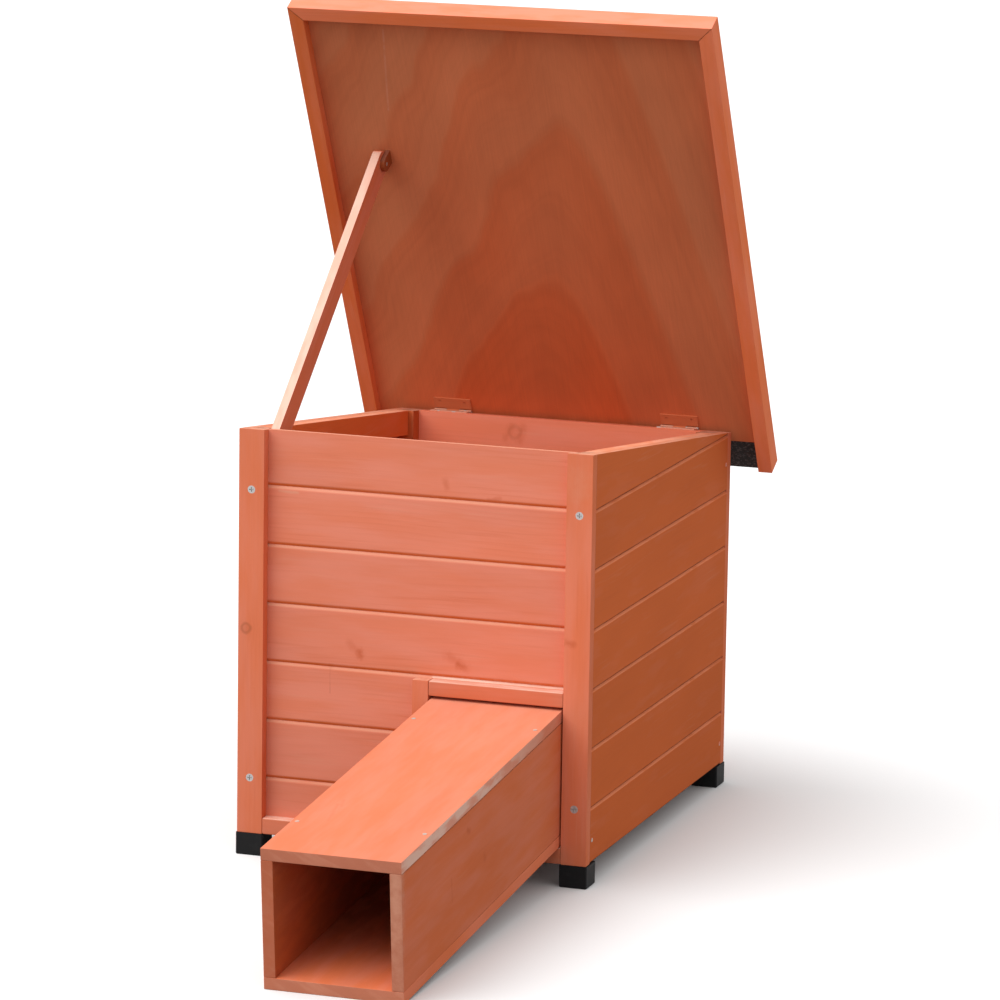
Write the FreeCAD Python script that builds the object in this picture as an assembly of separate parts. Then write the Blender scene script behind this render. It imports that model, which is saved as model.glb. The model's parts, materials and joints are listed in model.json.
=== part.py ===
"""Hedgehog house: a boarded nest box on feet, a hinged lid on a stay, and a loose entrance tunnel.

Millimetres, +Z up, +Y to the back, the ground at Z = 0. While it is modelled, Y = 0 is the front face of the
house; the finished pieces are moved together so that the origin lies under the middle of the whole object.
"""
import FreeCAD
import Part
import math
import os

# House: outer sizes
body_width = 374.0            # over the side boards
body_depth = 479.0            # over the front and back stiles
front_height = 418.0          # front wall, above the feet
back_height = 361.0           # back wall, above the feet
foot_side = 29.0
foot_overhang = 1.0           # foot caps beyond the stiles
foot_height = 23.0
foot_bevel = 1.0
peg_radius = 3.0              # peg of a foot cap, up into its stile
peg_height = 12.0

# House: timber
stile_width = 27.0
stile_thickness = 12.0        # the stiles and rails stand this far proud of the boards
batten_width = 27.0
batten_thickness = 12.0
back_batten_thickness = 18.0
side_rail_height = 27.0       # rails inside the tops of the side walls
side_rail_thickness = 12.0
bottom_rail_height = 17.0     # the front one is also the sill of the doorway
top_rail_height = 26.0
header_height = 15.5
jamb_width = 17.0
floor_thickness = 6.0
floor_drop = 1.0              # floor below the top of the sill
floor_batten_width = 15.0

# House: tongue and groove boards
board_thickness = 10.0
bottom_course = 57.0          # height of the lowest board
course = 60.5                 # cover of each board above it
least_course = 15.0           # a narrower rest is left on the board below
board_bevel = 2.0             # V joint between boards
tongue_height = 4.0
tongue_thickness = 3.4
tongue_clearance = 0.2

# Tunnel
tunnel_width = 139.0
tunnel_height = 139.0
tunnel_wall = 12.0
tunnel_reach = 451.0          # from the house to the lower edge of the mouth, along the ground
tunnel_insert = 40.0          # inside the doorway
doorway_side_clearance = 1.7
doorway_sill_clearance = 0.3
doorway_head_clearance = 0.8

# Lid
lid_width = 458.0
lid_reach = 521.0             # hinge axis to the front edge
lid_angle = 62.3              # propped open, above the horizontal
rail_width = 15.5
rail_drop = 12.0              # rails below the underside of the panel
rail_tail = 44.5              # rails behind the hinge axis
rebate_width = 6.0
panel_thickness = 9.0
panel_tail = 14.0             # panel behind the hinge axis
panel_clearance = 0.5
felt_thickness = 2.0
felt_tail = 55.5

# Butt hinges
hinge_offset = 128.5          # middle of the house to the middle of a hinge
hinge_width = 42.0
hinge_leaf_depth = 16.0
hinge_leaf_thickness = 1.2
hinge_leaf_gap = 0.4
hinge_leaf_rise = 0.2         # wall leaf above the hinge axis
knuckle_radius = 2.6
knuckle_wall_gap = 0.4
knuckle_end_gap = 0.3
hinge_pin_radius = 1.2
hinge_pin_clearance = 0.05
hinge_screw_inset = 12.0      # hinge axis to the screws
hinge_screw_spacing = 28.0
hinge_screw_length = 8.0

# Stay
stay_width = 27.0
stay_thickness = 9.0
stay_inset = 24.7             # left face of the house to the stay
stay_reach = 331.7            # hinge axis to the stay's pivot, along the lid
stay_pivot_drop = 14.0        # pivot below the panel
stay_foot_drop = 2.5          # top corner of the foot below the top of the front wall
stay_foot_clearance = 0.8
stay_side_clearance = 0.3
stay_bore_clearance = 0.1
cleat_thickness = 4.5
cleat_radius = 8.0
pivot_screw_radius = 2.0
pivot_head_radius = 4.0
pivot_head_thickness = 2.0

# Fasteners
screw_head_radius = 4.0
screw_shank_radius = 1.75
screw_length = 34.0
screw_low = 58.0              # lower corner screws above the wall's foot
screw_drop = 62.0             # upper corner screws below the wall's top
small_screw_head_radius = 2.6
small_screw_shank_radius = 1.2
recess_share = 1.2            # length of a drive recess in head radii
recess_width_share = 0.24
recess_depth_share = 0.3
nail_head_radius = 2.2
nail_head_thickness = 0.9
nail_proud = 0.4
nail_shank_radius = 0.9
nail_length = 20.0
nail_inset = 17.5             # front and back of the house to the side nails
nail_low = 24.0
nail_drop = 32.0              # upper side nails below the back wall's top
tunnel_nail_length = 26.0
tunnel_nail_first = 80.0      # mouth of the tunnel to the first nails
tunnel_nail_last = 91.0       # inner end of the tunnel to the last nails

# Worked-out places
half_width = body_width / 2
half_lid = lid_width / 2
wall_foot = foot_height
roof_rise = (front_height - back_height) / body_depth
roof_angle = math.degrees(math.atan(roof_rise))
boards_front = stile_thickness
boards_back = body_depth - stile_thickness
wall_inside_front = boards_front + board_thickness
wall_inside_back = boards_back - board_thickness
inner_half = half_width - board_thickness
boards_half = inner_half - batten_thickness
back_boards_half = inner_half - back_batten_thickness
batten_end = stile_thickness + batten_width
stile_half = half_width - stile_width
sill_top = wall_foot + bottom_rail_height
floor_top = sill_top - floor_drop
floor_low = floor_top - floor_thickness

tunnel_slope = math.atan((sill_top + doorway_sill_clearance) / tunnel_reach)
tunnel_length = (tunnel_reach + tunnel_insert) / math.cos(tunnel_slope)
door_left = stile_half - tunnel_width - 2 * doorway_side_clearance
tunnel_left = door_left + doorway_side_clearance
tunnel_right = tunnel_left + tunnel_width
tunnel_inner_top = tunnel_length * math.sin(tunnel_slope) + tunnel_height * math.cos(tunnel_slope)
header_low = tunnel_inner_top + doorway_head_clearance

axis_y = body_depth + knuckle_radius + knuckle_wall_gap
panel_lift = hinge_leaf_rise + 2 * hinge_leaf_thickness + hinge_leaf_gap
lid_top = panel_lift + panel_thickness + felt_thickness
rail_low = panel_lift - rail_drop
lid_front = -lid_reach
opening_half = half_lid - rail_width
rebate_half = opening_half + rebate_width
rebate_front = lid_front + rail_width - rebate_width

stay_left = -half_width + stay_inset
stay_right = stay_left + stay_thickness
cleat_left = stay_right + stay_side_clearance
cleat_right = cleat_left + cleat_thickness
beyond = 2 * (body_width + body_depth + front_height)

pieces = {}


def roof_height(y):
    """Height of the sloping wall tops above the ground at a depth."""
    return wall_foot + front_height - roof_rise * y


axis_z = roof_height(axis_y) - hinge_leaf_rise / math.cos(math.radians(roof_angle))


def vector(x, y, z):
    """Short name for a 3-D vector."""
    return FreeCAD.Vector(x, y, z)


def box(x0, x1, y0, y1, z0, z1):
    """Upright box between two corners."""
    return Part.makeBox(x1 - x0, y1 - y0, z1 - z0, vector(x0, y0, z0))


def prism(outline, run):
    """Solid swept straight along a run from a flat outline of 3-D points."""
    corners = [vector(*point) for point in outline]
    return Part.Face(Part.makePolygon(corners + corners[:1])).extrude(vector(*run))


def keep(name, *shapes):
    """Store the solids of one named piece or group of like pieces."""
    pieces.setdefault(name, [])
    for shape in shapes:
        pieces[name].extend(shape.Solids)


def below_roof(shape):
    """Cut a wall piece off along the sloping roof line."""
    front_edge, back_edge = -beyond, beyond
    outline = [
        (-beyond, front_edge, roof_height(front_edge)),
        (-beyond, back_edge, roof_height(back_edge)),
        (-beyond, back_edge, beyond),
        (-beyond, front_edge, beyond),
    ]
    return shape.cut(prism(outline, (2 * beyond, 0, 0)))


def mirrored(shape):
    """The same piece on the other side of the house."""
    return shape.mirror(vector(0, 0, 0), vector(1, 0, 0))


def at_back(shape):
    """The same piece at the back of the house instead of the front."""
    return shape.mirror(vector(0, body_depth / 2, 0), vector(0, 1, 0))


def on_lid(shape, angle):
    """Turn a piece drawn on a level lid about the hinge axis and set it in its place."""
    placed = shape.copy()
    placed.rotate(vector(0, 0, 0), vector(1, 0, 0), -angle)
    placed.translate(vector(0, axis_y, axis_z))
    return placed


def on_tunnel(shape):
    """Tilt a piece drawn on a level tunnel about the lower edge of its mouth."""
    placed = shape.copy()
    placed.rotate(vector(0, 0, 0), vector(1, 0, 0), math.degrees(tunnel_slope))
    placed.translate(vector(0, -tunnel_reach, 0))
    return placed


def aimed(shape, at, way):
    """Move a fastener drawn along +Z so that its head lies at a point and it is driven along way."""
    placed = shape.copy()
    placed.Placement = FreeCAD.Placement(vector(*at), FreeCAD.Rotation(vector(0, 0, 1), vector(*way)))
    return placed


def screw_blank(head_radius, shank_radius, length):
    """Countersunk screw without its drive recess; also the shape of its hole."""
    head = Part.makeCone(head_radius, shank_radius, head_radius - shank_radius)
    return head.fuse(Part.makeCylinder(shank_radius, length)).removeSplitter()


def screw(head_radius, shank_radius, length):
    """Countersunk screw with a cross recess."""
    reach = recess_share * head_radius / 2
    side = recess_width_share * head_radius / 2
    depth = recess_depth_share * head_radius
    cross = box(-reach, reach, -side, side, 0, depth).fuse(box(-side, side, -reach, reach, 0, depth))
    return screw_blank(head_radius, shank_radius, length).cut(cross)


def nail(length):
    """Round nail whose head stands a little proud of the wood; also the shape of its hole."""
    head = Part.makeCylinder(nail_head_radius, nail_head_thickness, vector(0, 0, -nail_proud))
    return head.fuse(Part.makeCylinder(nail_shank_radius, length)).removeSplitter()


def board_outline(low, high, grooved, tongued):
    """Section of a board as (depth from the outer face, height) points."""
    bevel = min(board_bevel, (high - low) / 3)
    near = (board_thickness - tongue_thickness) / 2
    far = near + tongue_thickness
    outline = [(bevel, low)]
    if grooved:
        roof = low + tongue_height + tongue_clearance
        outline += [(near - tongue_clearance, low), (near - tongue_clearance, roof)]
        outline += [(far + tongue_clearance, roof), (far + tongue_clearance, low)]
    outline += [(board_thickness, low), (board_thickness, high)]
    if tongued:
        crest = high + tongue_height
        outline += [(far, high), (far, crest), (near, crest), (near, high)]
    return outline + [(bevel, high), (0, high - bevel), (0, low + bevel)]


def front_board(low, high, start, end, grooved, tongued):
    """Board of the front wall between two places across the house."""
    outline = [(start, boards_front + d, z) for d, z in board_outline(low, high, grooved, tongued)]
    return below_roof(prism(outline, (end - start, 0, 0)))


def right_board(low, high, grooved, tongued):
    """Board of the right wall, between the front and back stiles."""
    outline = [(half_width - d, boards_front, z) for d, z in board_outline(low, high, grooved, tongued)]
    return below_roof(prism(outline, (0, boards_back - boards_front, 0)))


def courses(height):
    """Lower and upper edges of the boards of a wall, the last edge above its top."""
    edges = [wall_foot, wall_foot + bottom_course]
    while edges[-1] + course + least_course < wall_foot + height:
        edges.append(edges[-1] + course)
    if wall_foot + height - edges[-1] < least_course:
        edges.pop()
    edges.append(wall_foot + front_height + course)
    return list(zip(edges, edges[1:]))


def corner_fasteners():
    """Screws of the front and back stiles, as (height, at the back) pairs."""
    return [
        (wall_foot + screw_low, False),
        (wall_foot + front_height - screw_drop, False),
        (wall_foot + screw_low, True),
        (wall_foot + back_height - screw_drop, True),
    ]


def both_sides(shape):
    """A fastener and its twin on the other side of the house."""
    return [shape, mirrored(shape)]


def make_corner_screws(blank):
    """Screws driven from the front and the back through the stiles into the battens."""
    drawn = []
    x = half_width - stile_width / 2
    for height, behind in corner_fasteners():
        placed = aimed(blank, (x, 0, height), (0, 1, 0))
        drawn += both_sides(at_back(placed) if behind else placed)
    return drawn


def make_side_nails():
    """Nails driven through the side boards into the battens: one low at the front, two at the back."""
    low = aimed(nail(nail_length), (half_width, nail_inset, wall_foot + nail_low), (-1, 0, 0))
    high = aimed(nail(nail_length), (half_width, nail_inset, wall_foot + back_height - nail_drop), (-1, 0, 0))
    return both_sides(low) + both_sides(at_back(low)) + both_sides(at_back(high))


def make_posts():
    """Stiles, battens and foot caps of the four corners, and their screws."""
    screw_sizes = (screw_head_radius, screw_shank_radius, screw_length)
    holes = Part.makeCompound(make_corner_screws(screw_blank(*screw_sizes)) + make_side_nails())
    peg_place = vector(half_width - stile_width / 2, stile_thickness / 2, wall_foot)
    peg = Part.makeCylinder(peg_radius, peg_height, peg_place)
    stile = box(stile_half, half_width, 0, stile_thickness, wall_foot, beyond).cut(peg)
    slim = box(boards_half, inner_half, stile_thickness, batten_end, wall_foot, beyond)
    stout = box(back_boards_half, inner_half, stile_thickness, batten_end, wall_foot, beyond)
    foot_end = half_width + foot_overhang
    cap = box(foot_end - foot_side, foot_end, -foot_overhang, foot_side - foot_overhang, 0, foot_height)
    cap = cap.makeChamfer(foot_bevel, [edge for edge in cap.Edges if edge.BoundBox.ZMin < foot_height])
    foot = cap.fuse(peg)
    for name, turn, batten in (("front", lambda shape: shape, slim), ("back", at_back, stout)):
        for side, flip in (("left", mirrored), ("right", lambda shape: shape)):
            keep(name + "_" + side + "_stile", below_roof(flip(turn(stile))).cut(holes))
            keep(name + "_" + side + "_batten", below_roof(flip(turn(batten))).cut(holes))
            keep("foot_caps", flip(turn(foot)))
    keep("corner_screws", *make_corner_screws(screw(*screw_sizes)))
    keep("side_nails", *make_side_nails())


def make_side_walls():
    """Boards of the left and right walls, the top wedge with plain edges, and the rails inside their tops."""
    rows = courses(front_height)
    holes = Part.makeCompound(make_side_nails())
    for number, (low, high) in enumerate(rows, 1):
        grooved = 1 < number < len(rows)
        tongued = number < len(rows) - 1
        board = right_board(low, high, grooved, tongued)
        keep("right_board_%d" % number, board.cut(holes))
        keep("left_board_%d" % number, mirrored(board).cut(holes))
    near, far = batten_end, body_depth - batten_end
    x = inner_half - side_rail_thickness
    drop = side_rail_height / math.cos(math.radians(roof_angle))
    outline = [
        (x, near, roof_height(near) - drop), (x, far, roof_height(far) - drop),
        (x, far, roof_height(far)), (x, near, roof_height(near)),
    ]
    keep("side_top_rails", *both_sides(prism(outline, (side_rail_thickness, 0, 0))))


def make_front_wall():
    """Front boards, the doorway's rail, jamb and header, and the strips that line the doorway."""
    rows = courses(front_height)
    lintel_top = header_low
    for number, (low, high) in enumerate(rows, 1):
        beside_door = low < header_low
        end = door_left if beside_door else boards_half
        board = front_board(low, high, -boards_half, end, number > 1, number < len(rows))
        keep("front_board_%d" % number, board)
        if beside_door:
            lintel_top = high
    lintel = front_board(header_low, lintel_top, door_left, boards_half, False, True)
    threshold = box(door_left, boards_half, boards_front, wall_inside_front, wall_foot, sill_top)
    keep("doorway_strips", lintel, threshold)
    header_top = header_low + header_height
    jamb_left = door_left - jamb_width
    keep("front_bottom_rail", box(-stile_half, stile_half, 0, stile_thickness, wall_foot, sill_top))
    keep("door_jamb", box(jamb_left, door_left, 0, stile_thickness, sill_top, header_top))
    keep("door_header", box(door_left, stile_half, 0, stile_thickness, header_low, header_top))


def make_back_wall():
    """Back boards and the two back rails; the top rail carries the hinges."""
    rows = courses(back_height)
    holes = Part.makeCompound(make_hinge_screws(wall_screw_blanks(), roof_angle))
    boards = []
    for number, (low, high) in enumerate(rows, 1):
        outline = [
            (-back_boards_half, boards_back - d, z)
            for d, z in board_outline(low, high, number > 1, number < len(rows))
        ]
        boards.append(below_roof(prism(outline, (2 * back_boards_half, 0, 0))).cut(holes))
    keep("back_boards", *boards)
    bottom_rail = box(-stile_half, stile_half, boards_back, body_depth, wall_foot, sill_top)
    keep("back_bottom_rail", bottom_rail)
    rail_foot = wall_foot + back_height - top_rail_height
    top_rail = below_roof(box(-stile_half, stile_half, boards_back, body_depth, rail_foot, beyond))
    keep("back_top_rail", top_rail.cut(holes))


def make_floor():
    """Floor panel, notched round the battens, on two battens along the side walls."""
    panel = box(-inner_half, inner_half, wall_inside_front, wall_inside_back, floor_low, floor_top)
    front_notch = box(boards_half, inner_half, stile_thickness, batten_end, 0, floor_top)
    back_notch = at_back(box(back_boards_half, inner_half, stile_thickness, batten_end, 0, floor_top))
    notches = both_sides(front_notch) + both_sides(back_notch)
    keep("floor_panel", panel.cut(Part.makeCompound(notches)))
    low_batten = box(inner_half - floor_batten_width, inner_half, batten_end, body_depth - batten_end,
                     wall_foot, floor_low)
    keep("floor_battens", *both_sides(low_batten))


def knuckle_spans():
    """The three knuckles of a hinge as (start, end) across it, from its middle."""
    third = hinge_width / 3
    half_gap = knuckle_end_gap / 2
    return [
        (-hinge_width / 2, -third / 2 - half_gap),
        (-third / 2 + half_gap, third / 2 - half_gap),
        (third / 2 + half_gap, hinge_width / 2),
    ]


def hinge_leaf(low, spans):
    """A leaf of a hinge on a level lid, its plate starting at a height above the axis, with its knuckles."""
    high = low + hinge_leaf_thickness
    clear = knuckle_radius + knuckle_wall_gap
    leaf = box(-hinge_width / 2, hinge_width / 2, -hinge_leaf_depth, -clear, low, high)
    for start, end in spans:
        tube = Part.makeCylinder(knuckle_radius, end - start, vector(start, 0, 0), vector(1, 0, 0))
        leaf = leaf.fuse([tube, box(start, end, -clear, 0, low, high)])
    bore_radius = hinge_pin_radius + hinge_pin_clearance
    bore = Part.makeCylinder(bore_radius, hinge_width, vector(-hinge_width / 2, 0, 0), vector(1, 0, 0))
    return leaf.cut(bore).removeSplitter()


def hinge_places(shape):
    """Copies of a hinge piece at the left and the right hinge."""
    copies = []
    for x in (-hinge_offset, hinge_offset):
        copy = shape.copy()
        copy.translate(vector(x, 0, 0))
        copies.append(copy)
    return copies


def screw_row(fastener, height, way):
    """The two screws of one hinge leaf, their head faces at a height above the axis."""
    return [
        aimed(fastener, (x, -hinge_screw_inset, height), way)
        for x in (-hinge_screw_spacing / 2, hinge_screw_spacing / 2)
    ]


def small_screw_sizes():
    """Head radius, shank radius and length of a hinge screw."""
    return small_screw_head_radius, small_screw_shank_radius, hinge_screw_length


def wall_screw_blanks():
    """Screws of a wall leaf on a level lid, without drive recesses."""
    return screw_row(screw_blank(*small_screw_sizes()), hinge_leaf_rise + hinge_leaf_thickness, (0, 0, -1))


def lid_screw_blanks():
    """Screws of a lid leaf on a level lid, without drive recesses."""
    return screw_row(screw_blank(*small_screw_sizes()), panel_lift - hinge_leaf_thickness, (0, 0, 1))


def make_hinge_screws(row, angle):
    """A leaf's row of screws at both hinges, turned to an angle."""
    return [on_lid(placed, angle) for drawn in row for placed in hinge_places(drawn)]


def make_hinges():
    """Wall leaves, pins and wall screws on the house; lid leaves and lid screws on the lid."""
    spans = knuckle_spans()
    outer, inner = [spans[0], spans[2]], [spans[1]]
    wall_leaf = hinge_leaf(hinge_leaf_rise, outer).cut(Part.makeCompound(wall_screw_blanks()))
    lid_leaf = hinge_leaf(panel_lift - hinge_leaf_thickness, inner).cut(Part.makeCompound(lid_screw_blanks()))
    pin = Part.makeCylinder(hinge_pin_radius, hinge_width, vector(-hinge_width / 2, 0, 0), vector(1, 0, 0))
    keep("hinge_wall_leaves", *[on_lid(leaf, roof_angle) for leaf in hinge_places(wall_leaf)])
    keep("hinge_pins", *[on_lid(placed, roof_angle) for placed in hinge_places(pin)])
    keep("hinge_lid_leaves", *[on_lid(leaf, lid_angle) for leaf in hinge_places(lid_leaf)])
    driven = screw(*small_screw_sizes())
    wall_row = screw_row(driven, hinge_leaf_rise + hinge_leaf_thickness, (0, 0, -1))
    lid_row = screw_row(driven, panel_lift - hinge_leaf_thickness, (0, 0, 1))
    keep("hinge_wall_screws", *make_hinge_screws(wall_row, roof_angle))
    keep("hinge_lid_screws", *make_hinge_screws(lid_row, lid_angle))


def make_lid():
    """Panel in the rebate of three rails, mitred at the front, with roofing felt on top."""
    rebate = box(-rebate_half, rebate_half, rebate_front, beyond, panel_lift, lid_top)
    inside = lid_front + rail_width
    height = (0, 0, lid_top - rail_low)
    front_plan = [
        (-half_lid, lid_front, rail_low), (half_lid, lid_front, rail_low),
        (opening_half, inside, rail_low), (-opening_half, inside, rail_low),
    ]
    side_plan = [
        (half_lid, lid_front, rail_low), (half_lid, rail_tail, rail_low),
        (opening_half, rail_tail, rail_low), (opening_half, inside, rail_low),
    ]
    side_rail = prism(side_plan, height).cut(rebate)
    keep("lid_front_rail", on_lid(prism(front_plan, height).cut(rebate), lid_angle))
    keep("lid_right_rail", on_lid(side_rail, lid_angle))
    keep("lid_left_rail", on_lid(mirrored(side_rail), lid_angle))
    edge = rebate_half - panel_clearance
    front = rebate_front + panel_clearance
    panel_top = panel_lift + panel_thickness
    panel = on_lid(box(-edge, edge, front, panel_tail, panel_lift, panel_top), lid_angle)
    keep("lid_panel", panel.cut(Part.makeCompound(make_hinge_screws(lid_screw_blanks(), lid_angle))))
    keep("roof_felt", on_lid(box(-edge, edge, front, felt_tail, panel_top, lid_top), lid_angle))


def stay_pivot():
    """Place of the stay's pivot on the propped lid, as (y, z)."""
    angle = math.radians(lid_angle)
    drop = panel_lift - stay_pivot_drop
    y = axis_y - stay_reach * math.cos(angle) + drop * math.sin(angle)
    z = axis_z + stay_reach * math.sin(angle) + drop * math.cos(angle)
    return y, z


def make_stay():
    """Stay with a round top end on its pivot, its foot cut upright behind the front wall."""
    pivot_y, pivot_z = stay_pivot()
    foot_y = wall_inside_front + stay_foot_clearance
    foot_z = roof_height(wall_inside_front) - stay_foot_drop
    radius = stay_width / 2
    span = math.hypot(pivot_y - foot_y, pivot_z - foot_z)
    angle = math.atan2(pivot_z - foot_z, pivot_y - foot_y) + math.asin(radius / span)
    stick = box(stay_left, stay_right, -2 * span, 0, -radius, radius)
    stick = stick.fuse(Part.makeCylinder(radius, stay_thickness, vector(stay_left, 0, 0), vector(1, 0, 0)))
    stick.rotate(vector(0, 0, 0), vector(1, 0, 0), math.degrees(angle))
    stick.translate(vector(0, pivot_y, pivot_z))
    stick = stick.cut(box(-beyond, beyond, -beyond, foot_y, -beyond, beyond))
    bore_radius = pivot_screw_radius + stay_bore_clearance
    bore_start = vector(stay_left, pivot_y, pivot_z)
    bore = Part.makeCylinder(bore_radius, stay_thickness, bore_start, vector(1, 0, 0))
    keep("stay", stick.removeSplitter().cut(bore))


def make_stay_pivot():
    """Cleat under the lid panel and the screw that the stay turns on."""
    pivot = vector(cleat_left, -stay_reach, panel_lift - stay_pivot_drop)
    block = box(cleat_left, cleat_right, -stay_reach - cleat_radius, -stay_reach + cleat_radius,
                pivot.z, panel_lift)
    cleat = block.fuse(Part.makeCylinder(cleat_radius, cleat_thickness, pivot, vector(1, 0, 0)))
    head_end = stay_left - stay_side_clearance
    head_start = head_end - pivot_head_thickness
    head = Part.makeCylinder(pivot_head_radius, pivot_head_thickness, vector(head_start, pivot.y, pivot.z),
                             vector(1, 0, 0))
    shank = Part.makeCylinder(pivot_screw_radius, cleat_right - head_end, vector(head_end, pivot.y, pivot.z),
                              vector(1, 0, 0))
    keep("stay_cleat", on_lid(cleat.removeSplitter().cut(shank), lid_angle))
    keep("stay_pivot_screw", on_lid(head.fuse(shank).removeSplitter(), lid_angle))


def make_tunnel():
    """Four boards of the tunnel: top and bottom over the full width, the sides between them, all nailed."""
    side_low, side_high = tunnel_wall, tunnel_height - tunnel_wall
    nails = []
    for x in (tunnel_left + tunnel_wall / 2, tunnel_right - tunnel_wall / 2):
        for y in (tunnel_nail_first, tunnel_length - tunnel_nail_last):
            nails.append(aimed(nail(tunnel_nail_length), (x, y, tunnel_height), (0, 0, -1)))
            nails.append(aimed(nail(tunnel_nail_length), (x, y, 0), (0, 0, 1)))
    holes = Part.makeCompound(nails)
    boards = {
        "tunnel_top": box(tunnel_left, tunnel_right, 0, tunnel_length, side_high, tunnel_height),
        "tunnel_bottom": box(tunnel_left, tunnel_right, 0, tunnel_length, 0, side_low),
        "tunnel_left_side": box(tunnel_left, tunnel_left + tunnel_wall, 0, tunnel_length, side_low, side_high),
        "tunnel_right_side": box(tunnel_right - tunnel_wall, tunnel_right, 0, tunnel_length, side_low, side_high),
    }
    for name, board in boards.items():
        keep(name, on_tunnel(board.cut(holes)))
    keep("tunnel_nails", *[on_tunnel(placed) for placed in nails])


def export():
    """Centre the whole object over the origin and write one file for each piece."""
    os.makedirs("parts", exist_ok=True)
    whole = Part.makeCompound([solid for solids in pieces.values() for solid in solids])
    middle = (whole.BoundBox.YMin + whole.BoundBox.YMax) / 2
    for name, solids in pieces.items():
        shape = solids[0] if len(solids) == 1 else Part.makeCompound(solids)
        shape = shape.copy()
        shape.translate(vector(0, -middle, 0))
        shape.exportStep(os.path.join("parts", name + ".step"))
    pivot_y, pivot_z = stay_pivot()
    print("front face of the house at y = %.4f" % -middle)
    print("lid hinge axis at y = %.4f, z = %.4f" % (axis_y - middle, axis_z))
    print("stay pivot at y = %.4f, z = %.4f" % (pivot_y - middle, pivot_z))
    print("pieces: %d files, %d solids" % (len(pieces), sum(len(solids) for solids in pieces.values())))


make_posts()
make_side_walls()
make_front_wall()
make_back_wall()
make_floor()
make_hinges()
make_lid()
make_stay_pivot()
make_stay()
make_tunnel()
export()
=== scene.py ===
"""Looks of the hedgehog house: stained timber, plywood, roofing felt, zinc and plastic, and its stage."""
import bpy
import json
import math
from collections import namedtuple
from mathutils import Matrix, Vector

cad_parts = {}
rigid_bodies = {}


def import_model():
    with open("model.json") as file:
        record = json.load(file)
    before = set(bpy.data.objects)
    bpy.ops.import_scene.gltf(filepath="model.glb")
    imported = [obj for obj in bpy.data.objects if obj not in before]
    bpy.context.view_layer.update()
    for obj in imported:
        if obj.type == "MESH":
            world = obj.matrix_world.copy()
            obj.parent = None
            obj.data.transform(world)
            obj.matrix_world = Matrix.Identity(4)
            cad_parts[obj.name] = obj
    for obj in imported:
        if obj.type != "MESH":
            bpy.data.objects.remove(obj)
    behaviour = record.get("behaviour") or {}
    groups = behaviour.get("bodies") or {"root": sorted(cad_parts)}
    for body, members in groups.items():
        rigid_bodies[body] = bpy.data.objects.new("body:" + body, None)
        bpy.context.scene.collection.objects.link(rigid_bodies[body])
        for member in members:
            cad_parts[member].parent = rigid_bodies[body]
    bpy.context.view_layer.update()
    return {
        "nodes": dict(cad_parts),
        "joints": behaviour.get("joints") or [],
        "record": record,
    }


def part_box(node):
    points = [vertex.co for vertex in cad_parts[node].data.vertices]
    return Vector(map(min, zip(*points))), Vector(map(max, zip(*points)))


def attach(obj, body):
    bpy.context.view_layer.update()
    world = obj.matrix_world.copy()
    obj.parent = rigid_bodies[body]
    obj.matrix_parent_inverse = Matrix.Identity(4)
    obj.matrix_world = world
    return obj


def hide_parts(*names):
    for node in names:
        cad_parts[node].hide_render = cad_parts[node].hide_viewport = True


bl_info = {
    "name": "Hedgehog house",
    "version": (1, 0, 0),
    "blender": (4, 5, 0),
    "location": "3D View > Sidebar > Hedgehog house",
    "description": "Dresses the timber of a hedgehog house, lays its roofing felt and sets its stage",
    "category": "Object",
}

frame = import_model()

BODY_OF = {node: body for body, nodes in frame["record"]["behaviour"]["bodies"].items() for node in nodes}
SLOT_OF = {part["node"]: part["material_slot"] for part in frame["record"]["subparts"]}
HINGE = next(joint for joint in frame["joints"] if joint["name"] == "lid_hinge")

MM = 0.001
X_AXIS = Vector((1, 0, 0))
Y_AXIS = Vector((0, 1, 0))
Z_AXIS = Vector((0, 0, 1))

# How the copies of the CAD meshes are merged, eased and shaded.
MERGE_GAP = 0.01 * MM
BACK_GAP = 0.1 * MM
FLAT_BELOW = math.radians(0.5)
SHARP_ABOVE = math.radians(70)
SMOOTH_BELOW = math.radians(40)
UPRIGHT_BELOW = 0.05   # rise of a face's normal
CHAMFER_RISES = (0.6, 0.8)
ARRIS_SEGMENTS = 2
LIP_SEGMENTS = 4
FACE_WEIGHT = 90
SPOT_DIGITS = 6        # decimals, in metres, to which the corners of touching triangles agree

PLY_PAIRS_PER_METRE = 333.0
FELT_SHARE = 0.85      # of the CAD felt's thickness; the rest leaves room for the ripples
FELT_SQUARES = (46, 57)  # across and along the sheet
NAIL_SEGMENTS = 14
NAIL_RINGS = 8
NAIL_DOME = 0.3        # height of a felt nail's head, as a share of its radius
NAIL_SMOOTH_BELOW = math.radians(50)
FLOOR_SIZE = 80.0
KEY_DISTANCE = 4.0
SENSOR_WIDTH = 36.0


def tilt_about_x(node):
    """Angle about X that turns a level piece into the tilt of a node's largest face."""
    face = max(frame["nodes"][node].data.polygons, key=lambda polygon: polygon.area)
    normal = face.normal if face.normal.z > 0 else -face.normal
    return math.atan2(-normal.y, normal.z)


LID_TURN = Matrix.Rotation(tilt_about_x("roof_felt"), 4, "X")
LID_PLACE = Matrix.Translation(HINGE["pos_m"]) @ LID_TURN

# The three ways that timber lies in the house, and the ways of the tilted pieces: local X is along the grain.
ALONG_X = Matrix.Identity(3)
ALONG_Y = Matrix.Rotation(math.pi / 2, 3, "Z")
ALONG_Z = Matrix.Rotation(-math.pi / 2, 3, "Y")
ALONG_TUNNEL = Matrix.Rotation(tilt_about_x("tunnel_top"), 3, "X") @ ALONG_Y
ACROSS_LID = LID_TURN.to_3x3()
ALONG_LID = ACROSS_LID @ ALONG_Y


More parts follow.
